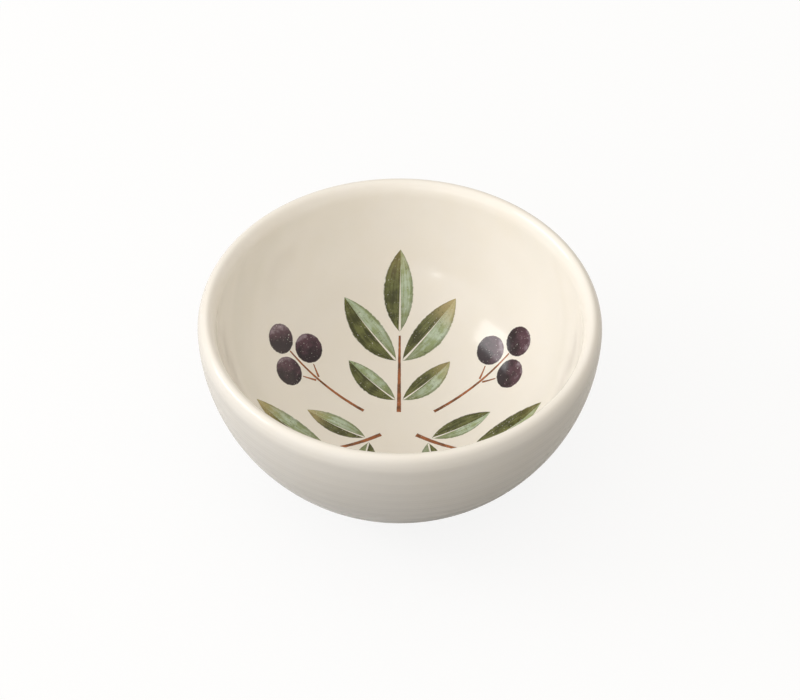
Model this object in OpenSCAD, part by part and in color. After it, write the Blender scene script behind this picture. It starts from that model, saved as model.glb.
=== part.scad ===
// Round dip bowl in glazed earthenware. A clay body, turned with a foot ring, carries
// a glaze that covers all but the foot's standing face. A rosette of leaf sprigs and
// berry sprays is printed on the glaze of the well.
// The bowl stands on z = 0 with its axis on Z, and one leaf sprig points along +Y.

/* [Bowl] */
// Diameter over the lip
rim_d = 110; // [100:1:125]
// Thickness of the wall at the lip, glaze included
wall_t = 5; // [4:0.1:6]
// Upright band, from the crest of the lip down to the start of the round wall
collar_h = 4.5; // [3.5:0.1:8]
// Thickness of the floor at its centre, glaze included
floor_t = 4.8; // [4:0.1:7]

/* [Foot ring] */
// Diameter at which the ring meets the round wall
foot_d = 54; // [46:1:60]
// Height of that meeting line above the table
foot_h = 2.6; // [2:0.1:4]
// Width of the bare face that stands on the table
face_w = 2.6; // [1.6:0.1:4]
// Height of the recess inside the ring
recess_h = 2.2; // [1.6:0.1:3]
// Lean of the ring's two sides, measured across
foot_lean = 0.6; // [0.2:0.1:1]
// Bevel along the edges of the bare face
foot_bevel = 0.5; // [0.2:0.1:0.8]
// Radius of the cove between the ring and the round wall
wall_cove = 1.2; // [0.8:0.1:1.4]
// Radius of the cove round the ceiling of the recess
recess_cove = 0.9; // [0.5:0.1:1]

/* [Glaze] */
// Thickness of the fired glaze
glaze_t = 0.35; // [0.2:0.05:0.6]
// Height of the bare clay at the bottom of the ring
bare_h = 0.9; // [0.8:0.1:1.4]

/* [Print] */
// Thickness of the printed colour
print_t = 0.08; // [0.06:0.02:0.14]
// Number of leaf sprigs, with a berry spray in each gap between two of them
sprig_count = 3; // [3:1:4]
// Length of a leaf
leaf_l = 23; // [18:0.5:24]
// Width of a leaf at its broadest
leaf_w = 9; // [6:0.2:9.4]
// Width of the bare midrib at the stalk end of a leaf
rib_w = 0.7; // [0.4:0.1:1]
// Width of a stem where it starts
stem_w = 1.4; // [1:0.1:1.8]
// Diameter of a berry
berry_d = 9; // [6:0.2:9.4]

/* [Hidden] */
$fn = 180;

// The outside is a hemisphere as wide as the lip, and the inside is a quarter arc round
// a flat floor. Both arcs start at the height wall_z.
rim_r = rim_d / 2;
lip_r = wall_t / 2;
mouth_r = rim_r - wall_t;
foot_r = foot_d / 2;
wall_z = hundredth(foot_h + sqrt(rim_r * rim_r - foot_r * foot_r));
bowl_h = wall_z + collar_h;
floor_z = recess_h + floor_t;
well_r = wall_z - floor_z;
floor_r = mouth_r - well_r;

// The bare face of the foot ring, and the depth by which the ring is rooted in the wall
face_out_r = foot_r - foot_lean - glaze_t - foot_bevel;
face_in_r = face_out_r - face_w;
root_h = 2;
// The coves bite into the surfaces that they join by this much
cove_bite = 0.05;
wall_cove_r = hundredth(ring_side(foot_h / 2) + wall_cove);
wall_cove_z = hundredth(wall_z - sqrt(pow(rim_r + wall_cove - cove_bite, 2) - pow(wall_cove_r, 2)));
recess_cove_z = recess_h - recess_cove + cove_bite;
recess_cove_r = hundredth(recess_side(recess_cove_z) - recess_cove + cove_bite);
// Reach past an edge that a cut has to clear
clear = 5;

// Places in the print, as lengths along the wall from the centre of the floor
stem_start = 6;
stem_end = 31;
pair_places = [9.5, 22.5];
pair_turns = [50, 42];
pair_sizes = [0.78, 1];
leaf_gap = 1.4;
// Share of a leaf's width on the outer side of its midrib
leaf_outer_share = 0.56;
// Share of a leaf's length that its midrib runs along
rib_reach = 0.82;
// A berry spray has two berries side by side and one above them
spray_start = 12;
twin_place = 36;
twin_side = 5.3;
top_place = 44.2;
fork_place = 27;
berry_gap = 0.35;
spray_stem_w = 0.75 * stem_w;
twin_stem_w = 0.5 * stem_w;
// Height of the cutters that cut the print out of its film
cutter_h = 18;

function hundredth(x) = round(x * 100) / 100;
function degrees(radians) = radians * 180 / PI;
// Radius of the ring's outer side, and of its side in the recess, at a height z
function ring_side(z) = foot_r - foot_lean * (foot_h + root_h - z) / (foot_h + root_h - foot_bevel);
function recess_side(z) = face_in_r - foot_bevel - glaze_t
    - foot_lean * (z - foot_bevel) / (recess_h + root_h - foot_bevel);
// Lean of the wall at a length s along it
function wall_lean(s) = s > floor_r ? degrees((s - floor_r) / well_r) : 0;
// Radius of an arc that bulges by h over a chord of length l
function arc_r(l, h) = (l * l / 4 + h * h) / (2 * h);

// Half-section under the hemisphere, shrunk by inset
module outside_half(inset) {
    intersection() {
        translate([0, wall_z]) circle(rim_r - inset);
        translate([0, recess_h + inset]) square([rim_r + clear, wall_z - recess_h - inset]);
    }
}

// Half-section of the well up to wall_z, grown by inset
module well_half(inset) {
    translate([0, floor_z - inset]) square([floor_r, well_r + inset]);
    intersection() {
        translate([floor_r, wall_z]) circle(well_r + inset);
        translate([floor_r, floor_z - clear]) square([well_r + clear, well_r + clear]);
    }
}

// Half-section of the foot ring, with its two sides drawn in by inset
module foot_half(inset) {
    outer_r = foot_r - inset;
    inner_r = face_in_r - foot_bevel - glaze_t + inset;
    polygon([
        [inner_r - foot_lean, recess_h + root_h],
        [inner_r, foot_bevel],
        [inner_r + foot_bevel, 0],
        [outer_r - foot_lean - foot_bevel, 0],
        [outer_r - foot_lean, foot_bevel],
        [outer_r, foot_h + root_h]
    ]);
}

// Half-section of the cove in the corner between the ring's outer side and the round wall
module wall_cove_half(inset) {
    reach = wall_cove + root_h;
    lean = atan2(wall_z - wall_cove_z, wall_cove_r);
    translate([wall_cove_r, wall_cove_z])
        difference() {
            polygon([[0, 0], [-reach * cos(lean), reach * sin(lean)], [-reach, 0]]);
            circle(wall_cove + inset);
        }
}

// Half-section of the cove in the corner between the ring's inner side and the recess ceiling
module recess_cove_half(inset) {
    reach = recess_cove + root_h;
    translate([recess_cove_r, recess_cove_z])
        difference() {
            square(reach);
            circle(recess_cove + inset);
        }
}

// Half-section of the whole bowl, drawn in by inset all round but for the standing face
module bowl_half(inset) {
    difference() {
        outside_half(inset);
        well_half(inset);
    }
    translate([mouth_r + inset, wall_z]) square([wall_t - 2 * inset, collar_h - lip_r]);
    intersection() {
        translate([rim_r - lip_r, bowl_h - lip_r]) circle(lip_r - inset);
        translate([0, bowl_h - lip_r]) square([rim_r + clear, clear]);
    }
    foot_half(inset);
    wall_cove_half(inset);
    recess_cove_half(inset);
}

// Half-section of all the glaze, which stops above the bare foot
module glaze_half() {
    difference() {
        bowl_half(0);
        bowl_half(glaze_t);
        translate([0, -clear]) square([rim_r + clear, clear + bare_h]);
    }
}

// Half-section of the space inside the foot ring, with the glaze of the recess in it
module recess_half() {
    square([face_in_r + face_w / 2, recess_h + glaze_t + root_h]);
}

// Film over the well that the print is cut from
module print_film() {
    rotate_extrude()
        difference() {
            well_half(0);
            well_half(-print_t);
        }
}

// Stands a flat shape on the wall at the place s, with X up the wall, and makes a cutter of it
module on_wall(s) {
    translate([min(s, floor_r), 0, wall_z])
        rotate([0, -wall_lean(s), 0])
            translate([0, 0, -well_r])
                linear_extrude(cutter_h, center = true)
                    children();
}

// Leaf outline along X: two arcs that meet at its tips
module leaf_outline(l, w) {
    outer_h = w * leaf_outer_share;
    inner_h = w - outer_h;
    intersection() {
        translate([0, outer_h - arc_r(l, outer_h)]) circle(arc_r(l, outer_h));
        translate([0, arc_r(l, inner_h) - inner_h]) circle(arc_r(l, inner_h));
    }
}

// Leaf with a bare midrib, which narrows from the stalk end and stops short of the tip
module leaf(l, w) {
    difference() {
        leaf_outline(l, w);
        polygon([[-l / 2 - rib_w, -rib_w / 2], [(rib_reach - 0.5) * l, 0], [-l / 2 - rib_w, rib_w / 2]]);
    }
}

// Stem outline along X, tapering to half its width
module stem(l, w) {
    polygon([[-l / 2, -w / 2], [l / 2, -w / 4], [l / 2, w / 4], [-l / 2, w / 2]]);
}

// Leaf whose stalk end is at the place s on the sprig's stem, turned out to one side of it
module stem_leaf(s, turn, size) {
    on_wall(s)
        rotate(turn)
            translate([leaf_gap + size * leaf_l / 2, 0])
                mirror([0, turn < 0 ? 1 : 0])
                    leaf(size * leaf_l, size * leaf_w);
}

// Stem between two places on the wall, out along a line from the centre
module straight_stem(start, end, w) {
    on_wall((start + end) / 2) stem(end - start, w);
}

// Stalk from the fork of a berry spray to one of the twin berries
module twin_stalk(hand) {
    rise = twin_place - fork_place;
    l = norm([twin_side, rise]) - berry_d / 2 - berry_gap - stem_w;
    on_wall(fork_place)
        rotate(hand * atan2(twin_side, rise))
            translate([stem_w + l / 2, 0])
                stem(l, twin_stem_w);
}

module leaf_sprig() {
    for (i = [0 : len(pair_places) - 1])
        for (hand = [1, -1])
            stem_leaf(pair_places[i], hand * pair_turns[i], pair_sizes[i]);
    stem_leaf(stem_end, 0, 1);
}

module berry_spray() {
    for (hand = [1, -1])
        on_wall(twin_place) translate([0, hand * twin_side]) circle(d = berry_d);
    on_wall(top_place) circle(d = berry_d);
}

module spray_stalks() {
    straight_stem(spray_start, top_place - berry_d / 2 - berry_gap, spray_stem_w);
    for (hand = [1, -1])
        twin_stalk(hand);
}

// Repeats a sprig or a spray round the axis, from +Y on, shifted by a share of the spacing
module round_the_well(shift) {
    for (i = [0 : sprig_count - 1])
        rotate([0, 0, 90 + (i + shift) * 360 / sprig_count])
            children();
}

module clay_body() {
    color("#d9c4a3") rotate_extrude() bowl_half(glaze_t);
}

module glaze_coat() {
    color("#f2e9d8")
        rotate_extrude()
            difference() {
                glaze_half();
                recess_half();
            }
}

module underside_glaze() {
    color("#f2e9d8")
        rotate_extrude()
            intersection() {
                glaze_half();
                recess_half();
            }
}

module leaf_print() {
    color("#7c7b4a")
        intersection() {
            print_film();
            round_the_well(0) leaf_sprig();
        }
}

module stem_print() {
    color("#9a6f45")
        intersection() {
            print_film();
            union() {
                round_the_well(0) straight_stem(stem_start, stem_end, stem_w);
                round_the_well(0.5) spray_stalks();
            }
        }
}

module berry_print() {
    color("#5b4450")
        intersection() {
            print_film();
            round_the_well(0.5) berry_spray();
        }
}

clay_body();
glaze_coat();
underside_glaze();
leaf_print();
stem_print();
berry_print();
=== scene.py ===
import math

import bmesh
import bpy
from mathutils import Matrix, Vector


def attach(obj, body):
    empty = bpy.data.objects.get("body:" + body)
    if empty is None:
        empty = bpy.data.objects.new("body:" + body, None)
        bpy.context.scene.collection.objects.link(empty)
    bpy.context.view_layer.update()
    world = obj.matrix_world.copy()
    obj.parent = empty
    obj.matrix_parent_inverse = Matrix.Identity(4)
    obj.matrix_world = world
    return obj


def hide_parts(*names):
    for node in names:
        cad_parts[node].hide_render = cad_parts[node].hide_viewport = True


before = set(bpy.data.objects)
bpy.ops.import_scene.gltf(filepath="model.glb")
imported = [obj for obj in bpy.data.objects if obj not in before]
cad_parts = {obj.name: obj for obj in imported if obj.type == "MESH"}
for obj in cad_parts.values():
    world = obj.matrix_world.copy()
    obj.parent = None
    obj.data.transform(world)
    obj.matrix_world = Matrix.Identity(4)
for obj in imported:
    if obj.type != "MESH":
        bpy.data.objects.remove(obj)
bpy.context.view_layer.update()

# Sizes of the bowl, in metres, as in the solids
MM = 0.001
RIM_R = 55 * MM
WALL_T = 5 * MM
COLLAR_H = 4.5 * MM
FLOOR_T = 4.8 * MM
FOOT_R = 27 * MM
FOOT_H = 2.6 * MM
FACE_W = 2.6 * MM
RECESS_H = 2.2 * MM
FOOT_LEAN = 0.6 * MM
FOOT_BEVEL = 0.5 * MM
GLAZE_T = 0.35 * MM
BARE_H = 0.9 * MM

LIP_R = WALL_T / 2
MOUTH_R = RIM_R - WALL_T
WALL_Z = FOOT_H + math.sqrt(RIM_R ** 2 - FOOT_R ** 2)
BOWL_H = WALL_Z + COLLAR_H
FLOOR_Z = RECESS_H + FLOOR_T
WELL_R = WALL_Z - FLOOR_Z
FLOOR_R = MOUTH_R - WELL_R

# Foot ring: its two glazed sides at the bottom, and where they run into the coves
FOOT_EDGE_R = FOOT_R - FOOT_LEAN
FOOT_COVE_R = FOOT_R - FOOT_LEAN / 2
RECESS_EDGE_R = FOOT_EDGE_R - FACE_W - 2 * FOOT_BEVEL - 2 * GLAZE_T
RECESS_COVE_R = RECESS_EDGE_R - FOOT_LEAN / 3
WALL_COVE = 1.2 * MM
RECESS_COVE = 0.9 * MM

# Hand-made unevenness: the lip dips and the mouth is out of round by up to this much
LIP_DIP = 0.3 * MM
OUT_OF_ROUND = 0.003
# Rings left by turning: their pitch, the group's input for their depth, and the scale of their patches
GLAZE_RINGS = ((4.2 * MM, "Rings", 60.0), (1.3 * MM, "Fine Rings", 45.0))
GLAZE_IOR = 1.5

# Steps along the inside, the lip and the outside, on the face of the glaze and under it
FACE_STEPS = (72, 44, 64)
UNDER_STEPS = (24, 16, 24)
# Steps round a cove or a small edge, and along the recess, on its face and under it
EDGE_STEPS = 8
RECESS_FACE_STEPS = 16
RECESS_UNDER_STEPS = 10

# Print, as lengths along the wall from the centre of the floor
SPRIGS = 3
LEAF_L = 23 * MM
LEAF_W = 9 * MM
LEAF_OUTER_SHARE = 0.56
LEAF_GAP = 1.4 * MM
RIB_W = 0.7 * MM
RIB_REACH = 0.82
LEAF_COLUMNS = 32
LEAF_ROWS = 9
STEM_START = 6 * MM
STEM_END = 31 * MM
STEM_W = 1.4 * MM
STEM_COLUMNS = 36
STEM_ROWS = 3
LEAF_PAIRS = ((9.5 * MM, 50, 0.78), (22.5 * MM, 42, 1.0))
SPRAY_START = 12 * MM
FORK_PLACE = 27 * MM
TWIN_PLACE = 36 * MM
TWIN_SIDE = 5.3 * MM
TOP_PLACE = 44.2 * MM
BERRY_D = 9 * MM
BERRY_GAP = 0.35 * MM
BERRY_COLUMNS = 40
BERRY_ROWS = 7
PRINT_LIFT = 0.05 * MM
PRINT_T = 0.07 * MM
RAY_START = 12 * MM
# Edges of the print sharper than this many degrees stay crisp
SHARP_ANGLE = 40
# Steps by this share of 1 give every printed copy a tone of its own
GOLDEN = 0.618

# Camera, as fitted to the outline and the lip in the photograph, whose frame is 800 by 700
PHOTO_W = 800
SENSOR_W = 36.0
FOCAL_PX = 2174
CAMERA_DISTANCE = 0.6
CAMERA_ELEVATION = 46.27
CAMERA_ROLL = 0.66
CAMERA_TARGET = Vector((0.13 * MM, 0, 38.97 * MM))

# Studio: the floor's half width, what it throws back and its own glow, and the room's light
WHITE = (1, 1, 1, 1)
FLOOR_HALF = 3.0
FLOOR_BOUNCE = (0.03, 0.028, 0.025, 1)
FLOOR_GLOW = 0.86
ROOM_COLOUR = (1, 0.935, 0.83, 1)
ROOM_LOW = 0.48
ROOM_HIGH = 0.73
# Broad soft windows in the room: azimuth and elevation in degrees, brightness, and how fast it fades
WINDOWS = {
    "front_window": (231, 8, 1.1, 4.0),
    "high_window": (180, 50, 0.41, 6.0),
}
# Lamps: azimuth, elevation and roll in degrees, distance, width, height, and the light on a facing surface
LAMPS = {
    "key_box": (178, 30, 30, 0.8, 0.52, 0.24, 0.24),
    "front_strip": (246, 20, 0, 0.9, 0.10, 0.02, 0.007),
}


def srgb(code):
    """Linear colour, with alpha 1, of a six-digit screen colour."""
    channels = [int(code[i:i + 2], 16) / 255 for i in (0, 2, 4)]
    linear = [c / 12.92 if c <= 0.04045 else ((c + 0.055) / 1.055) ** 2.4 for c in channels]
    return (*linear, 1.0)


# Colours of the finishes
IVORY = srgb("fbf7f0")
IVORY_WARM = srgb("f8f1e6")
IVORY_PALE = srgb("fcf9f6")
IRON_SPECK = srgb("5a4332")
BISQUE = srgb("d9c3a2")
BISQUE_DARK = srgb("b89a74")
LEAF_DARK = srgb("43451f")
LEAF_OLIVE = srgb("6f7440")
LEAF_SAGE = srgb("98a878")
LEAF_MINT = srgb("c3d3bd")
LEAF_TAN = srgb("c4b07a")
STEM_RUST = srgb("b0683c")
STEM_BROWN = srgb("6e4426")
BERRY_DARK = srgb("2f2229")
BERRY_PLUM = srgb("5a3f4b")
BERRY_MAUVE = srgb("9a8894")


# Node helpers, used by geometry and material trees alike
def add_node(tree, kind, inputs=None, **settings):
    """New node with its settings, and with each named input linked to a socket or set to a value."""
    node = tree.nodes.new(kind)
    for name, value in settings.items():
        setattr(node, name, value)
    for name, value in (inputs or {}).items():
        if isinstance(value, bpy.types.NodeSocket):
            tree.links.new(value, node.inputs[name])
        else:
            node.inputs[name].default_value = value
    return node


def math_node(tree, operation, *values, clamp=False):
    """Result of a Math node on up to three values or sockets."""
    node = add_node(tree, "ShaderNodeMath", dict(enumerate(values)), operation=operation, use_clamp=clamp)
    return node.outputs[0]


def vector_node(tree, operation, *values):
    node = add_node(tree, "ShaderNodeVectorMath", dict(enumerate(values)), operation=operation)
    return node.outputs["Value" if operation in ("DOT_PRODUCT", "DISTANCE") else "Vector"]


def scaled(tree, vector, factor):
    node = add_node(tree, "ShaderNodeVectorMath", {0: vector, "Scale": factor}, operation="SCALE")
    return node.outputs[0]


def smooth_range(tree, value, low, high):
    """Smooth step from 0 at low to 1 at high. With high under low it falls instead."""
    node = add_node(tree, "ShaderNodeMapRange", {"Value": value, "From Min": low, "From Max": high},
                    interpolation_type="SMOOTHSTEP")
    return node.outputs["Result"]


def noise(tree, coordinates, scale, detail=2.0, roughness=0.5):
    node = add_node(tree, "ShaderNodeTexNoise", {
        "Vector": coordinates, "Scale": scale, "Detail": detail, "Roughness": roughness})
    return node.outputs[0]


def mix_colours(tree, share, first, second):
    """Colour that goes from first to second as share goes from 0 to 1."""
    node = add_node(tree, "ShaderNodeMix", {0: share, 6: first, 7: second}, data_type="RGBA")
    return node.outputs[2]


def new_group(name, kind, inputs, outputs):
    """Node group with named sockets, each given as its name, type and default."""
    tree = bpy.data.node_groups.new(name, kind)
    for label, socket, default in inputs:
        made = tree.interface.new_socket(name=label, in_out="INPUT", socket_type=socket)
        if default is not None:
            made.default_value = default
    for label, socket in outputs:
        tree.interface.new_socket(name=label, in_out="OUTPUT", socket_type=socket)
    return tree, tree.nodes.new("NodeGroupInput"), tree.nodes.new("NodeGroupOutput")


# Turned pieces
def arc(centre, radius, start, end, steps):
    """Points on an arc between two angles in degrees, both ends included."""
    angles = [math.radians(start + (end - start) * i / steps) for i in range(steps + 1)]
    return [(centre[0] + radius * math.cos(a), centre[1] + radius * math.sin(a)) for a in angles]


def line(first, last, steps):
    """Points on a straight line, the last one left out."""
    return [(first[0] + (last[0] - first[0]) * i / steps, first[1] + (last[1] - first[1]) * i / steps)
            for i in range(steps)]


def inside_path(inset, steps):
    """The well from the centre of its floor up to the lip, drawn into the wall by inset."""
    start = (0, FLOOR_Z - inset)
    end = (FLOOR_R, FLOOR_Z - inset)
    wall = arc((FLOOR_R, WALL_Z), WELL_R + inset, -90, 0, steps)
    return line(start, end, 4) + wall


def lip_path(inset, steps):
    """The band above the round wall, which tapers to the crest of the lip as a half ellipse."""
    width, height = LIP_R - inset, COLLAR_H - inset
    angles = [math.pi * (1 - i / steps) for i in range(1, steps)]
    return [(RIM_R - LIP_R + width * math.cos(a), WALL_Z + height * math.sin(a)) for a in angles]


def outside_path(inset, steps):
    """The round wall from the lip down, and the cove where it meets the side of the foot ring."""
    cove_x = FOOT_COVE_R + WALL_COVE
    cove_z = WALL_Z - math.sqrt((RIM_R + WALL_COVE) ** 2 - cove_x ** 2)
    lean = math.degrees(math.atan2(WALL_Z - cove_z, cove_x))
    wall = arc((0, WALL_Z), RIM_R - inset, 0, -lean, steps)
    cove = arc((cove_x, cove_z), WALL_COVE + inset, 180 - lean, 180, EDGE_STEPS)
    return wall + cove


def recess_path(inset, steps):
    """The side of the recess from the foot ring up, its cove and its ceiling to the axis."""
    centre = (RECESS_COVE_R - RECESS_COVE, RECESS_H - RECESS_COVE)
    cove = arc(centre, RECESS_COVE + inset, 0, 90, EDGE_STEPS)
    return cove + line(cove[-1], (0, RECESS_H + inset), steps)[1:] + [(0, RECESS_H + inset)]


def skin_path(inset, steps):
    """The whole way from the centre of the floor over the lip to the cove above the foot ring."""
    inside, lip, outside = steps
    return inside_path(inset, inside) + lip_path(inset, lip) + outside_path(inset, outside)


def glaze_edge(middle_r):
    """The rounded bottom edge of a glaze whose middle is at a radius, from its outer to its inner side."""
    return arc((middle_r, BARE_H + GLAZE_T / 2), GLAZE_T / 2, 0, -180, EDGE_STEPS)


def glaze_coat_path():
    """The coat's face from the floor over the lip to its edge above the foot, then its back."""
    back = skin_path(GLAZE_T, UNDER_STEPS)
    return skin_path(0, FACE_STEPS) + glaze_edge(FOOT_EDGE_R - GLAZE_T / 2) + back[::-1]


def underside_glaze_path():
    """The back of the glaze in the recess from the axis out, its edge, and its face."""
    back = recess_path(GLAZE_T, RECESS_UNDER_STEPS)
    return back[::-1] + glaze_edge(RECESS_EDGE_R + GLAZE_T / 2) + recess_path(0, RECESS_FACE_STEPS)


def clay_body_path():
    """The body's skin under the glaze, its bare foot with worn edges, and the ceiling of the recess."""
    side_r = FOOT_EDGE_R - GLAZE_T
    inner_r = RECESS_EDGE_R + GLAZE_T
    outer_edge = arc((side_r - FOOT_BEVEL, FOOT_BEVEL), FOOT_BEVEL, 0, -90, EDGE_STEPS)
    inner_edge = arc((inner_r + FOOT_BEVEL, FOOT_BEVEL), FOOT_BEVEL, -90, -180, EDGE_STEPS)
    face = line(outer_edge[-1], inner_edge[0], 6)[1:]
    ceiling = recess_path(GLAZE_T, RECESS_UNDER_STEPS)
    return skin_path(GLAZE_T, UNDER_STEPS) + outer_edge + face + inner_edge + ceiling


def turning_tree():
    """Geometry tree that turns a path of points once round Z, uneven as a hand-finished rim is."""
    tree, given, result = new_group(
        "turned_piece", "GeometryNodeTree",
        [("Path", "NodeSocketGeometry", None), ("Turn Steps", "NodeSocketInt", 240),
         ("Height", "NodeSocketFloat", BOWL_H), ("Lip Dip", "NodeSocketFloat", LIP_DIP),
         ("Out Of Round", "NodeSocketFloat", OUT_OF_ROUND), ("Finish", "NodeSocketMaterial", None)],
        [("Piece", "NodeSocketGeometry")])
    path, turn_steps = given.outputs["Path"], given.outputs["Turn Steps"]
    points = add_node(tree, "GeometryNodeAttributeDomainSize", {0: path}).outputs["Point Count"]
    rows = math_node(tree, "ADD", turn_steps, 1.0)
    grid = add_node(tree, "GeometryNodeMeshGrid", {"Vertices X": points, "Vertices Y": rows})
    index = add_node(tree, "GeometryNodeInputIndex").outputs[0]
    place = add_node(tree, "GeometryNodeInputPosition").outputs[0]
    column = math_node(tree, "FLOOR", math_node(tree, "DIVIDE", index, rows))
    row = math_node(tree, "SUBTRACT", index, math_node(tree, "MULTIPLY", column, rows))
    sample = add_node(tree, "GeometryNodeSampleIndex", {"Geometry": path, "Value": place, "Index": column},
                      data_type="FLOAT_VECTOR", domain="POINT")
    point = add_node(tree, "ShaderNodeSeparateXYZ", {0: sample.outputs[0]}).outputs
    angle = math_node(tree, "MULTIPLY", math_node(tree, "DIVIDE", row, turn_steps), math.tau)
    share = math_node(tree, "DIVIDE", point["Z"], given.outputs["Height"])
    ovalness = uneven(tree, angle, share, given.outputs["Out Of Round"], 1.9)
    radius = math_node(tree, "MULTIPLY", point["X"], ovalness)
    dip = uneven(tree, angle, math_node(tree, "POWER", share, 3.0), given.outputs["Lip Dip"], 0.6)
    height = math_node(tree, "ADD", point["Z"], math_node(tree, "SUBTRACT", dip, 1.0))
    turned = add_node(tree, "ShaderNodeCombineXYZ", {
        "X": math_node(tree, "MULTIPLY", radius, math_node(tree, "COSINE", angle)),
        "Y": math_node(tree, "MULTIPLY", radius, math_node(tree, "SINE", angle)), "Z": height})
    placed = add_node(tree, "GeometryNodeSetPosition", {
        "Geometry": grid.outputs["Mesh"], "Position": turned.outputs[0]})
    closed = add_node(tree, "GeometryNodeMergeByDistance", {
        "Geometry": placed.outputs[0], "Distance": 1e-6})
    finish_tree(tree, closed.outputs[0], given.outputs["Finish"], result)
    return tree


def uneven(tree, angle, share, amount, phase):
    """1 less a two-lobed and a three-lobed wave of the angle, scaled by share and amount."""
    two = math_node(tree, "COSINE", math_node(tree, "MULTIPLY_ADD", angle, 2.0, phase))
    three = math_node(tree, "COSINE", math_node(tree, "MULTIPLY_ADD", angle, 3.0, 2 * phase))
    wave = math_node(tree, "MULTIPLY_ADD", three, 0.15, math_node(tree, "MULTIPLY_ADD", two, 0.35, 0.5))
    depth = math_node(tree, "MULTIPLY", math_node(tree, "MULTIPLY", wave, share), amount)
    return math_node(tree, "SUBTRACT", 1.0, depth)


def finish_tree(tree, geometry, material, result):
    """Ends a geometry tree: realized, smooth and with its material."""
    real = add_node(tree, "GeometryNodeRealizeInstances", {"Geometry": geometry})
    smooth = add_node(tree, "GeometryNodeSetShadeSmooth", {"Geometry": real.outputs[0]})
    dressed = add_node(tree, "GeometryNodeSetMaterial", {
        "Geometry": smooth.outputs[0], "Material": material})
    tree.links.new(dressed.outputs[0], result.inputs[0])


def new_object(name, data):
    """Object in the scene for a mesh, a lamp or a camera."""
    made = bpy.data.objects.new(name, data)
    bpy.context.scene.collection.objects.link(made)
    return made


def grown(name, mesh, tree, values, solid=None):
    """Plain mesh object from a geometry tree run on a mesh, with its inputs set by name."""
    seed = new_object(name + "_seed", mesh)
    modifier = seed.modifiers.new("grow", "NODES")
    modifier.node_group = tree
    sockets = {item.name: item.identifier for item in tree.interface.items_tree if item.in_out == "INPUT"}
    for label, value in values.items():
        modifier[sockets[label]] = value
    if solid:
        thick = seed.modifiers.new("thickness", "SOLIDIFY")
        thick.thickness = solid
        thick.offset = -1
    bpy.context.view_layer.update()
    evaluated = seed.evaluated_get(bpy.context.evaluated_depsgraph_get())
    made = new_object(name, bpy.data.meshes.new_from_object(evaluated))
    made.data.name = name
    bpy.data.objects.remove(seed)
    return made


def turned_piece(name, path, tree, material):
    """Piece that a geometry tree turns from a path of radii and heights."""
    mesh = bpy.data.meshes.new(name + "_path")
    mesh.from_pydata([(r, 0, z) for r, z in path], [(i, i + 1) for i in range(len(path) - 1)], [])
    return grown(name, mesh, tree, {"Finish": material})


# Printed pieces
def wall_frame(place, azimuth):
    """Matrix of the tangent plane at a place on the wall: X up the wall, Y across it, Z into the hollow."""
    lean = max(0, (place - FLOOR_R) / WELL_R)
    return (Matrix.Rotation(math.radians(azimuth), 4, "Z")
            @ Matrix.Translation((min(place, FLOOR_R), 0, WALL_Z))
            @ Matrix.Rotation(-lean, 4, "Y")
            @ Matrix.Translation((0, 0, -WELL_R)))


def sheet_mesh(name, columns, rows, point, bare_row=None):
    """Flat sheet whose corners are point(u, v), with u and v as its UV map and one row left out.

    Points that meet are merged.
    """
    shape = bmesh.new()
    uv = shape.loops.layers.uv.new("UVMap")
    corners = [[shape.verts.new((*point(i / columns, j / rows), 0)) for j in range(rows + 1)]
               for i in range(columns + 1)]
    for i in range(columns):
        for j in (row for row in range(rows) if row != bare_row):
            steps = ((i, j), (i + 1, j), (i + 1, j + 1), (i, j + 1))
            face = shape.faces.new([corners[a][b] for a, b in steps])
            for loop, (a, b) in zip(face.loops, steps):
                loop[uv].uv = (a / columns, b / rows)
    bmesh.ops.remove_doubles(shape, verts=shape.verts, dist=1e-7)
    mesh = bpy.data.meshes.new(name)
    shape.to_mesh(mesh)
    shape.free()
    return mesh


def bulge(x, chord, height):
    """Height at x of an arc over a chord that is centred on 0."""
    radius = (chord ** 2 / 4 + height ** 2) / (2 * height)
    return math.sqrt(max(0, radius ** 2 - x ** 2)) - (radius - height)


def leaf_point(u, v):
    """Leaf of two halves, the outer one at v over 0.5, with the midrib in the middle row between them."""
    x = (u - 0.5) * LEAF_L
    share, hand = (LEAF_OUTER_SHARE, 1) if v > 0.5 else (1 - LEAF_OUTER_SHARE, -1)
    edge = bulge(x, LEAF_L, LEAF_W * share)
    rib = min(edge, RIB_W / 2 * max(0, 1 - u / RIB_REACH))
    half_row = 0.5 / LEAF_ROWS
    out = (abs(v - 0.5) - half_row) / (0.5 - half_row)
    return x, hand * (rib + out * (edge - rib))


def stem_point(u, v):
    """Stem of unit length and width that tapers to half its width."""
    return u - 0.5, (v - 0.5) * (1 - u / 2)


def berry_point(u, v):
    """Disc in rings, with u round it and v out from its centre."""
    return v * BERRY_D / 2 * math.cos(math.tau * u), v * BERRY_D / 2 * math.sin(math.tau * u)


def round_the_well(shift):
    """Azimuths of the sprigs, from +Y on, shifted by a share of their spacing."""
    return [90 + (i + shift) * 360 / SPRIGS for i in range(SPRIGS)]


def leaf_spots():
    """Where each leaf lies and how large it is, mirrored on one side of its stem."""
    spots = []
    for azimuth in round_the_well(0):
        turns = [(place, hand * turn, size) for place, turn, size in LEAF_PAIRS for hand in (1, -1)]
        for place, turn, size in turns + [(STEM_END, 0, 1.0)]:
            out = Matrix.Translation((LEAF_GAP + size * LEAF_L / 2, 0, 0))
            frame_here = wall_frame(place, azimuth) @ Matrix.Rotation(math.radians(turn), 4, "Z") @ out
            spots.append((frame_here, (size, -size if turn < 0 else size, 1)))
    return spots


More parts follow.
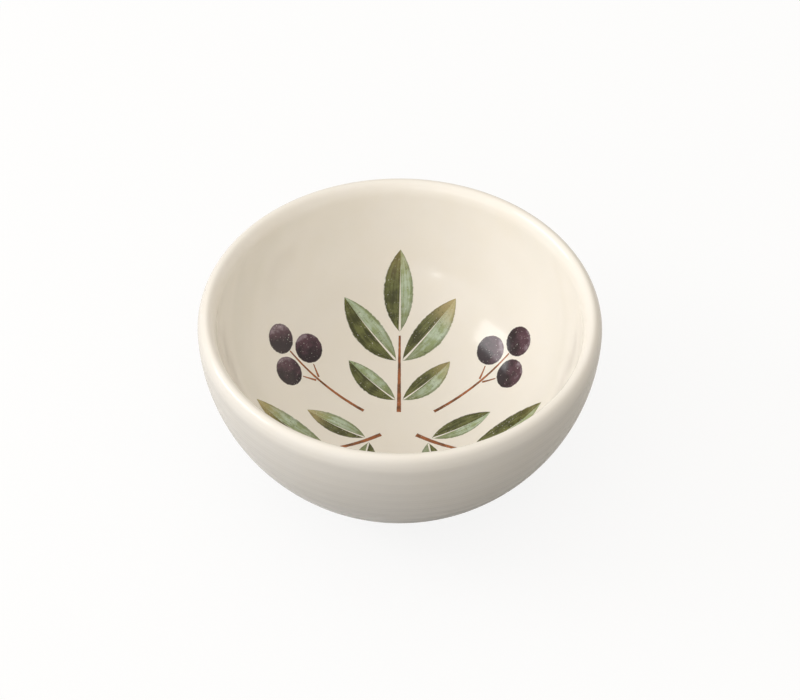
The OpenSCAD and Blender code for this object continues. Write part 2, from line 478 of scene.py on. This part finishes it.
def berry_spots():
    """Where each berry lies: two side by side and one above them in each spray."""
    spots = []
    for azimuth in round_the_well(0.5):
        for hand in (1, -1):
            aside = Matrix.Translation((0, hand * TWIN_SIDE, 0))
            spots.append((wall_frame(TWIN_PLACE, azimuth) @ aside, (1, 1, 1)))
        spots.append((wall_frame(TOP_PLACE, azimuth), (1, 1, 1)))
    return spots


def stem_spots():
    """Where each stem and stalk lies, with its length and width."""
    spots = []
    for azimuth in round_the_well(0):
        spots.append((wall_frame((STEM_START + STEM_END) / 2, azimuth), (STEM_END - STEM_START, STEM_W, 1)))
    spray_end = TOP_PLACE - BERRY_D / 2 - BERRY_GAP
    rise = TWIN_PLACE - FORK_PLACE
    stalk = math.hypot(TWIN_SIDE, rise) - BERRY_D / 2 - BERRY_GAP - STEM_W
    for azimuth in round_the_well(0.5):
        middle = (SPRAY_START + spray_end) / 2
        spots.append((wall_frame(middle, azimuth), (spray_end - SPRAY_START, 0.75 * STEM_W, 1)))
        for hand in (1, -1):
            turn = Matrix.Rotation(hand * math.atan2(TWIN_SIDE, rise), 4, "Z")
            out = Matrix.Translation((STEM_W + stalk / 2, 0, 0))
            spots.append((wall_frame(FORK_PLACE, azimuth) @ turn @ out, (stalk, 0.5 * STEM_W, 1)))
    return spots


def spot_mesh(name, spots):
    """Points that carry where and how each copy of a printed shape lies on the wall."""
    mesh = bpy.data.meshes.new(name)
    mesh.from_pydata([spot.translation for spot, _ in spots], [], [])
    kinds = {"aim": "QUATERNION", "stretch": "FLOAT_VECTOR", "outward": "FLOAT_VECTOR", "tone": "FLOAT"}
    for label, kind in kinds.items():
        mesh.attributes.new(label, kind, "POINT")
    values = {label: mesh.attributes[label].data for label in kinds}
    for i, (spot, size) in enumerate(spots):
        values["aim"][i].value = spot.to_quaternion()
        values["stretch"][i].vector = size
        values["outward"][i].vector = spot.to_3x3() @ Vector((0, 0, 1))
        values["tone"][i].value = (i * GOLDEN) % 1
    return mesh


def printing_tree():
    """Geometry tree that lays copies of a flat shape on the wall, just proud of the glaze."""
    tree, given, result = new_group(
        "wall_print", "GeometryNodeTree",
        [("Spots", "NodeSocketGeometry", None), ("Shape", "NodeSocketObject", None),
         ("Wall", "NodeSocketObject", None), ("Lift", "NodeSocketFloat", PRINT_LIFT),
         ("Finish", "NodeSocketMaterial", None)],
        [("Piece", "NodeSocketGeometry")])
    shape = add_node(tree, "GeometryNodeObjectInfo", {"Object": given.outputs["Shape"]}).outputs["Geometry"]
    wall = add_node(tree, "GeometryNodeObjectInfo", {"Object": given.outputs["Wall"]}).outputs["Geometry"]

    def spot_value(name, kind):
        node = add_node(tree, "GeometryNodeInputNamedAttribute", {"Name": name}, data_type=kind)
        return node.outputs["Attribute"]

    copies = add_node(tree, "GeometryNodeInstanceOnPoints", {
        "Points": given.outputs["Spots"], "Instance": shape,
        "Rotation": spot_value("aim", "QUATERNION"), "Scale": spot_value("stretch", "FLOAT_VECTOR")})
    real = add_node(tree, "GeometryNodeRealizeInstances", {"Geometry": copies.outputs[0]})
    outward = spot_value("outward", "FLOAT_VECTOR")
    place = add_node(tree, "GeometryNodeInputPosition").outputs[0]
    above = scaled(tree, outward, RAY_START)
    inward = scaled(tree, outward, -1.0)
    hit = add_node(tree, "GeometryNodeRaycast", {
        "Target Geometry": wall, "Source Position": vector_node(tree, "ADD", place, above),
        "Ray Direction": inward, "Ray Length": RIM_R})
    lift = scaled(tree, hit.outputs["Hit Normal"], given.outputs["Lift"])
    on_wall = vector_node(tree, "ADD", hit.outputs["Hit Position"], lift)
    laid = add_node(tree, "GeometryNodeSetPosition", {"Geometry": real.outputs[0], "Position": on_wall})
    normal = add_node(tree, "GeometryNodeInputNormal").outputs[0]
    facing = vector_node(tree, "DOT_PRODUCT", normal, outward)
    turned_away = add_node(tree, "FunctionNodeCompare", {0: facing, 1: 0.0}, operation="LESS_THAN")
    flipped = add_node(tree, "GeometryNodeFlipFaces", {
        "Mesh": laid.outputs[0], "Selection": turned_away.outputs[0]})
    finish_tree(tree, flipped.outputs[0], given.outputs["Finish"], result)
    return tree


def printed_piece(name, shape_mesh, spots, tree, wall, material):
    """Piece made of copies of a flat shape, one at each spot, laid on the wall."""
    shape = new_object(name + "_shape", shape_mesh)
    piece = grown(name, spot_mesh(name + "_spots", spots), tree,
                  {"Shape": shape, "Wall": wall, "Finish": material}, solid=PRINT_T)
    piece.data.set_sharp_from_angle(angle=math.radians(SHARP_ANGLE))
    bpy.data.objects.remove(shape)
    return piece


# Finishes
def glaze_surface_group():
    """Gloss of the glaze: its roughness, and the height of its waves, rings and peel in millimetres."""
    tree, given, result = new_group(
        "glaze_surface", "ShaderNodeTree",
        [("Object", "NodeSocketVector", None), ("Gloss Roughness", "NodeSocketFloat", 0.12),
         ("Waves", "NodeSocketFloat", 0.05), ("Rings", "NodeSocketFloat", 0.03),
         ("Fine Rings", "NodeSocketFloat", 0.008), ("Peel", "NodeSocketFloat", 0.01)],
        [("Roughness", "NodeSocketFloat"), ("Height", "NodeSocketFloat")])
    place = given.outputs["Object"]
    flattened = vector_node(tree, "MULTIPLY", place, (0.4, 0.4, 1.6))
    waves = math_node(tree, "MULTIPLY", noise(tree, flattened, 90.0, 1.0), given.outputs["Waves"])
    parts = add_node(tree, "ShaderNodeSeparateXYZ", {0: place}).outputs
    sway = math_node(tree, "MULTIPLY", noise(tree, place, 18.0, 1.0), 2 * MM)
    level = math_node(tree, "ADD", parts["Z"], sway)
    from_middle = vector_node(tree, "DISTANCE", place, (0, 0, WALL_Z))
    outside = smooth_range(tree, from_middle, MOUTH_R + 1 * MM, RIM_R - 1.5 * MM)
    height = waves
    for pitch, depth, patchiness in GLAZE_RINGS:
        turns = math_node(tree, "SINE", math_node(tree, "MULTIPLY", level, math.tau / pitch))
        patches = math_node(tree, "MULTIPLY", noise(tree, place, patchiness, 1.0), outside)
        faded = math_node(tree, "MULTIPLY", turns, patches)
        height = math_node(tree, "MULTIPLY_ADD", faded, given.outputs[depth], height)
    peel = noise(tree, place, 260.0, 2.0)
    height = math_node(tree, "MULTIPLY_ADD", peel, given.outputs["Peel"], height)
    tree.links.new(height, result.inputs["Height"])
    mottle = math_node(tree, "MULTIPLY_ADD", noise(tree, place, 90.0, 3.0), 0.06, -0.03)
    tree.links.new(math_node(tree, "ADD", given.outputs["Gloss Roughness"], mottle, clamp=True),
                   result.inputs["Roughness"])
    return tree


def empty_tree(owner):
    """Node tree of a new material or world, without the nodes that it starts with."""
    owner.use_nodes = True
    owner.node_tree.nodes.clear()
    return owner.node_tree


def show(tree, shader, output="ShaderNodeOutputMaterial"):
    """Ends a shader tree with a shader node."""
    add_node(tree, output, {"Surface": shader.outputs[0]})


def new_material(name):
    """Material with its tree, its shader and its Object coordinates."""
    material = bpy.data.materials.new(name)
    tree = empty_tree(material)
    shader = add_node(tree, "ShaderNodeBsdfPrincipled")
    show(tree, shader)
    place = add_node(tree, "ShaderNodeTexCoord").outputs["Object"]
    return material, tree, shader, place


def put_gloss(tree, shader, place, surface_group):
    """Gives a shader the gloss of the glaze."""
    gloss = add_node(tree, "ShaderNodeGroup", node_tree=surface_group)
    tree.links.new(place, gloss.inputs["Object"])
    tree.links.new(gloss.outputs["Roughness"], shader.inputs["Roughness"])
    bump = add_node(tree, "ShaderNodeBump", {"Distance": MM, "Height": gloss.outputs["Height"]})
    tree.links.new(bump.outputs[0], shader.inputs["Normal"])
    shader.inputs["IOR"].default_value = GLAZE_IOR


def glaze_material(surface_group):
    """Ivory glaze, a little warmer where it pools, with a few iron specks."""
    material, tree, shader, place = new_material("ivory_glaze")
    pooled = smooth_range(tree, noise(tree, place, 28.0, 3.0), 0.35, 0.75)
    cloud = smooth_range(tree, noise(tree, place, 120.0, 2.0), 0.3, 0.7)
    base = mix_colours(tree, math_node(tree, "MULTIPLY", pooled, 0.35), IVORY, IVORY_WARM)
    base = mix_colours(tree, math_node(tree, "MULTIPLY", cloud, 0.3), base, IVORY_PALE)
    cells = add_node(tree, "ShaderNodeTexVoronoi", {"Vector": place, "Scale": 95.0, "Randomness": 1.0})
    near = smooth_range(tree, cells.outputs["Distance"], 0.026, 0.012)
    chosen = add_node(tree, "ShaderNodeSeparateColor", {0: cells.outputs["Color"]}).outputs[0]
    speck = math_node(tree, "MULTIPLY", near, math_node(tree, "GREATER_THAN", chosen, 0.9))
    base = mix_colours(tree, math_node(tree, "MULTIPLY", speck, 0.75), base, IRON_SPECK)
    tree.links.new(base, shader.inputs["Base Color"])
    put_gloss(tree, shader, place, surface_group)
    return material


def clay_material():
    """Bare fired earthenware: sandy, with fine grog and a worn standing face."""
    material, tree, shader, place = new_material("bare_clay")
    grain = noise(tree, place, 900.0, 4.0, 0.6)
    patch = noise(tree, place, 110.0, 3.0)
    base = mix_colours(tree, smooth_range(tree, grain, 0.4, 0.7), BISQUE, BISQUE_DARK)
    base = mix_colours(tree, smooth_range(tree, patch, 0.35, 0.75), base, BISQUE)
    tree.links.new(base, shader.inputs["Base Color"])
    tree.links.new(math_node(tree, "MULTIPLY_ADD", grain, 0.2, 0.7), shader.inputs["Roughness"])
    bump = add_node(tree, "ShaderNodeBump", {"Strength": 0.5, "Distance": 0.1 * MM, "Height": grain})
    tree.links.new(bump.outputs[0], shader.inputs["Normal"])
    return material


def wash_group():
    """Brushed ceramic colour: grains of pigment, bare flecks, and how it thins towards an edge."""
    tree, given, result = new_group(
        "brushed_colour", "ShaderNodeTree",
        [("Object", "NodeSocketVector", None), ("Colour", "NodeSocketColor", WHITE),
         ("Pigment", "NodeSocketColor", (0, 0, 0, 1)), ("Ground", "NodeSocketColor", IVORY),
         ("Edge", "NodeSocketFloat", 1.0), ("Grain", "NodeSocketFloat", 0.6)],
        [("Colour", "NodeSocketColor")])
    place = given.outputs["Object"]
    grains = smooth_range(tree, noise(tree, place, 1500.0, 3.0, 0.65), 0.5, 0.72)
    clouds = smooth_range(tree, noise(tree, place, 420.0, 3.0), 0.35, 0.7)
    dark = math_node(tree, "MULTIPLY", math_node(tree, "MULTIPLY", grains, clouds), given.outputs["Grain"])
    colour = mix_colours(tree, dark, given.outputs["Colour"], given.outputs["Pigment"])
    fleck = smooth_range(tree, noise(tree, place, 2100.0, 1.0), 0.68, 0.76)
    colour = mix_colours(tree, math_node(tree, "MULTIPLY", fleck, 0.45), colour, given.outputs["Ground"])
    ragged = math_node(tree, "MULTIPLY_ADD", noise(tree, place, 1100.0, 2.0), 0.5, -0.25)
    edge = math_node(tree, "ADD", given.outputs["Edge"], ragged)
    rim = math_node(tree, "MULTIPLY", smooth_range(tree, edge, 0.9, 0.35), 0.35)
    colour = mix_colours(tree, rim, colour, given.outputs["Pigment"])
    bare = smooth_range(tree, edge, 0.28, 0.0)
    tree.links.new(mix_colours(tree, bare, colour, given.outputs["Ground"]), result.inputs["Colour"])
    return tree


def put_wash(tree, shader, place, group, colour, pigment, edge, grain):
    """Gives a shader a brushed colour, with its pigment, its distance to an edge and its grain."""
    wash = add_node(tree, "ShaderNodeGroup", node_tree=group)
    for name, value in (("Object", place), ("Colour", colour), ("Edge", edge)):
        tree.links.new(value, wash.inputs[name])
    wash.inputs["Pigment"].default_value = pigment
    wash.inputs["Ground"].default_value = IVORY
    wash.inputs["Grain"].default_value = grain
    tree.links.new(wash.outputs[0], shader.inputs["Base Color"])


def print_coordinates(tree):
    """The UV map's two values, and the tone of the copy."""
    uv = add_node(tree, "ShaderNodeUVMap", uv_map="UVMap").outputs[0]
    parts = add_node(tree, "ShaderNodeSeparateXYZ", {0: uv}).outputs
    tone = add_node(tree, "ShaderNodeAttribute", attribute_name="tone").outputs["Fac"]
    return parts["X"], parts["Y"], tone


def edge_distance(tree, v, width):
    """0 at both edges of a strip, rising to 1 within a share of its width."""
    inner = math_node(tree, "MINIMUM", v, math_node(tree, "SUBTRACT", 1.0, v))
    return math_node(tree, "DIVIDE", inner, width, clamp=True)


def leaf_material(surface_group, wash):
    """Leaf with a dark and a pale half, streaked along its length, and a tip that turns tan."""
    material, tree, shader, place = new_material("leaf_colour")
    u, v, tone = print_coordinates(tree)
    brush = add_node(tree, "ShaderNodeCombineXYZ", {
        "X": math_node(tree, "MULTIPLY", u, 2.2), "Y": math_node(tree, "MULTIPLY", v, 13.0),
        "Z": math_node(tree, "MULTIPLY", tone, 40.0)}).outputs[0]
    streaks = noise(tree, brush, 1.0, 3.0, 0.6)
    wander = math_node(tree, "MULTIPLY_ADD", streaks, 0.3, -0.15)
    across = math_node(tree, "ADD", math_node(tree, "SUBTRACT", v, 0.5), wander)
    flip = math_node(tree, "MULTIPLY_ADD", math_node(tree, "GREATER_THAN", tone, 0.5), 2.0, -1.0)
    half = smooth_range(tree, math_node(tree, "MULTIPLY", across, flip), -0.06, 0.1)
    blotches = math_node(tree, "ADD", noise(tree, place, 330.0, 3.0), streaks)
    clouds = smooth_range(tree, blotches, 0.8, 1.2)
    deep = mix_colours(tree, clouds, LEAF_DARK, LEAF_OLIVE)
    pale = mix_colours(tree, clouds, LEAF_SAGE, LEAF_MINT)
    root = math_node(tree, "MULTIPLY", smooth_range(tree, u, 0.55, 0.0), 0.6)
    pale = mix_colours(tree, root, pale, LEAF_OLIVE)
    colour = mix_colours(tree, half, deep, pale)
    tan = math_node(tree, "MULTIPLY", smooth_range(tree, u, 0.55, 0.95), smooth_range(tree, tone, 0.2, 0.9))
    colour = mix_colours(tree, math_node(tree, "MULTIPLY", tan, 0.8), colour, LEAF_TAN)
    put_wash(tree, shader, place, wash, colour, LEAF_DARK, edge_distance(tree, v, 0.14), 0.75)
    put_gloss(tree, shader, place, surface_group)
    return material


def stem_material(surface_group, wash):
    """Stem in patches of rust and brown."""
    material, tree, shader, place = new_material("stem_colour")
    _, v, _ = print_coordinates(tree)
    shade = smooth_range(tree, noise(tree, place, 300.0, 2.0), 0.35, 0.7)
    colour = mix_colours(tree, shade, STEM_RUST, STEM_BROWN)
    put_wash(tree, shader, place, wash, colour, STEM_BROWN, edge_distance(tree, v, 0.35), 0.4)
    put_gloss(tree, shader, place, surface_group)
    return material


def berry_material(surface_group, wash):
    """Plum berry, dark on one side and with a mauve bloom on the other."""
    material, tree, shader, place = new_material("berry_colour")
    u, v, _ = print_coordinates(tree)
    angle = math_node(tree, "MULTIPLY", u, math.tau)
    side = math_node(tree, "MULTIPLY", v, math_node(tree, "COSINE", math_node(tree, "ADD", angle, 0.6)))
    clouds = noise(tree, place, 420.0, 3.0)
    depth = math_node(tree, "MULTIPLY_ADD", side, 0.45, clouds)
    colour = mix_colours(tree, smooth_range(tree, depth, 0.3, 0.75), BERRY_DARK, BERRY_PLUM)
    colour = mix_colours(tree, smooth_range(tree, depth, 0.72, 1.0), colour, BERRY_MAUVE)
    put_wash(tree, shader, place, wash, colour, BERRY_DARK,
             math_node(tree, "DIVIDE", math_node(tree, "SUBTRACT", 1.0, v), 0.16, clamp=True), 0.6)
    put_gloss(tree, shader, place, surface_group)
    return material


# Pieces
def dress(piece, node):
    """Lets a piece stand for a node of the solids and ride with them."""
    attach(piece, "root")
    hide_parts(node)


def make_bowl():
    """All six pieces, each standing for its node of the solids."""
    surface, wash = glaze_surface_group(), wash_group()
    glaze = glaze_material(surface)
    turning, printing = turning_tree(), printing_tree()
    coat = turned_piece("bowl_glaze", glaze_coat_path(), turning, glaze)
    under = turned_piece("bowl_underside_glaze", underside_glaze_path(), turning, glaze)
    clay = turned_piece("bowl_clay", clay_body_path(), turning, clay_material())
    leaf_sheet = sheet_mesh("leaf", LEAF_COLUMNS, LEAF_ROWS, leaf_point, bare_row=LEAF_ROWS // 2)
    stem_sheet = sheet_mesh("stem", STEM_COLUMNS, STEM_ROWS, stem_point)
    berry_sheet = sheet_mesh("berry", BERRY_COLUMNS, BERRY_ROWS, berry_point)
    leaves = printed_piece("bowl_leaves", leaf_sheet, leaf_spots(), printing, coat,
                           leaf_material(surface, wash))
    stems = printed_piece("bowl_stems", stem_sheet, stem_spots(), printing, coat,
                          stem_material(surface, wash))
    berries = printed_piece("bowl_berries", berry_sheet, berry_spots(), printing, coat,
                            berry_material(surface, wash))
    dress(coat, "glaze_coat")
    dress(under, "underside_glaze")
    dress(clay, "clay_body")
    dress(leaves, "leaf_print")
    dress(stems, "stem_print")
    dress(berries, "berry_print")


# Studio
def direction(azimuth, elevation):
    """Unit vector to a direction in degrees."""
    level = Vector((math.cos(math.radians(azimuth)), math.sin(math.radians(azimuth)), 0))
    return level * math.cos(math.radians(elevation)) + Vector((0, 0, math.sin(math.radians(elevation))))


def floor_material():
    """White as seen and as mirrored, with the bowl's shadow, and dark in the light that it throws back."""
    material = bpy.data.materials.new("studio_floor")
    tree = empty_tree(material)
    bounce = add_node(tree, "ShaderNodeBsdfDiffuse", {"Color": FLOOR_BOUNCE})
    pale = add_node(tree, "ShaderNodeBsdfDiffuse", {"Color": WHITE})
    glow = add_node(tree, "ShaderNodeEmission", {"Color": WHITE, "Strength": 1.0})
    rays = add_node(tree, "ShaderNodeLightPath").outputs
    mirrored = math_node(tree, "MAXIMUM", rays["Is Glossy Ray"], rays["Is Transmission Ray"])
    visible = math_node(tree, "MAXIMUM", rays["Is Camera Ray"], mirrored)
    lift = math_node(tree, "MULTIPLY", rays["Is Camera Ray"], FLOOR_GLOW)
    seen = add_node(tree, "ShaderNodeMixShader", {0: lift, 1: pale.outputs[0], 2: glow.outputs[0]})
    both = add_node(tree, "ShaderNodeMixShader", {0: visible, 1: bounce.outputs[0], 2: seen.outputs[0]})
    show(tree, both)
    return material


def make_floor():
    mesh = bpy.data.meshes.new("studio_floor")
    corners = [(x * FLOOR_HALF, y * FLOOR_HALF, 0) for x, y in ((-1, -1), (1, -1), (1, 1), (-1, 1))]
    mesh.from_pydata(corners, [], [(0, 1, 2, 3)])
    mesh.materials.append(floor_material())
    new_object("studio_floor", mesh)


def make_world():
    """Room with soft windows, brighter from the horizon up, and plain white to the camera."""
    world = bpy.data.worlds.new("studio")
    tree = empty_tree(world)
    look = add_node(tree, "ShaderNodeTexCoord").outputs["Generated"]
    up = math_node(tree, "MAXIMUM", add_node(tree, "ShaderNodeSeparateXYZ", {0: look}).outputs["Z"], 0.0)
    rise = math_node(tree, "MULTIPLY_ADD", up, ROOM_HIGH - ROOM_LOW, ROOM_LOW)
    room = add_node(tree, "ShaderNodeBackground", {"Color": ROOM_COLOUR, "Strength": rise})
    glow = 0.0
    for azimuth, elevation, light, fade in WINDOWS.values():
        facing = vector_node(tree, "DOT_PRODUCT", look, direction(azimuth, elevation))
        lobe = math_node(tree, "POWER", math_node(tree, "MAXIMUM", facing, 0.0), fade)
        glow = math_node(tree, "MULTIPLY_ADD", lobe, light, glow)
    daylight = add_node(tree, "ShaderNodeBackground", {"Color": WHITE, "Strength": glow})
    lit = add_node(tree, "ShaderNodeAddShader", {0: room.outputs[0], 1: daylight.outputs[0]})
    white = add_node(tree, "ShaderNodeBackground", {"Color": WHITE, "Strength": 1.0})
    camera_only = add_node(tree, "ShaderNodeLightPath").outputs["Is Camera Ray"]
    both = add_node(tree, "ShaderNodeMixShader", {0: camera_only, 1: lit.outputs[0], 2: white.outputs[0]})
    show(tree, both, "ShaderNodeOutputWorld")
    bpy.context.scene.world = world


def make_lamp(name, azimuth, elevation, roll, distance, width, height, light):
    """Soft lamp that faces the bowl. At a light of 1 a white surface that faces it renders white."""
    data = bpy.data.lights.new(name, "AREA")
    data.shape = "RECTANGLE"
    data.size, data.size_y = width, height
    data.energy = light * (math.pi * distance) ** 2
    back = direction(azimuth, elevation)
    rolled = Matrix.Rotation(math.radians(roll), 4, "Z")
    turn = back.to_track_quat("Z", "Y").to_matrix().to_4x4() @ rolled
    lamp = new_object(name, data)
    lamp.matrix_world = Matrix.Translation(CAMERA_TARGET + distance * back) @ turn


def make_camera():
    """Camera that sees the bowl as the photograph does."""
    data = bpy.data.cameras.new("photo_camera")
    data.sensor_fit = "HORIZONTAL"
    data.sensor_width = SENSOR_W
    data.lens = FOCAL_PX * SENSOR_W / PHOTO_W
    elevation, roll = math.radians(CAMERA_ELEVATION), math.radians(CAMERA_ROLL)
    back = Vector((0, -math.cos(elevation), math.sin(elevation)))
    level = Vector((1, 0, 0))
    upright = back.cross(level)
    right = level * math.cos(roll) + upright * math.sin(roll)
    turn = Matrix((right, back.cross(right), back)).transposed().to_4x4()
    camera = new_object("photo_camera", data)
    camera.matrix_world = Matrix.Translation(CAMERA_TARGET + back * CAMERA_DISTANCE) @ turn
    bpy.context.scene.camera = camera


make_camera()
make_bowl()
make_floor()
make_world()
for lamp_name, lamp_values in LAMPS.items():
    make_lamp(lamp_name, *lamp_values)
bpy.context.scene.view_settings.view_transform = "Standard"
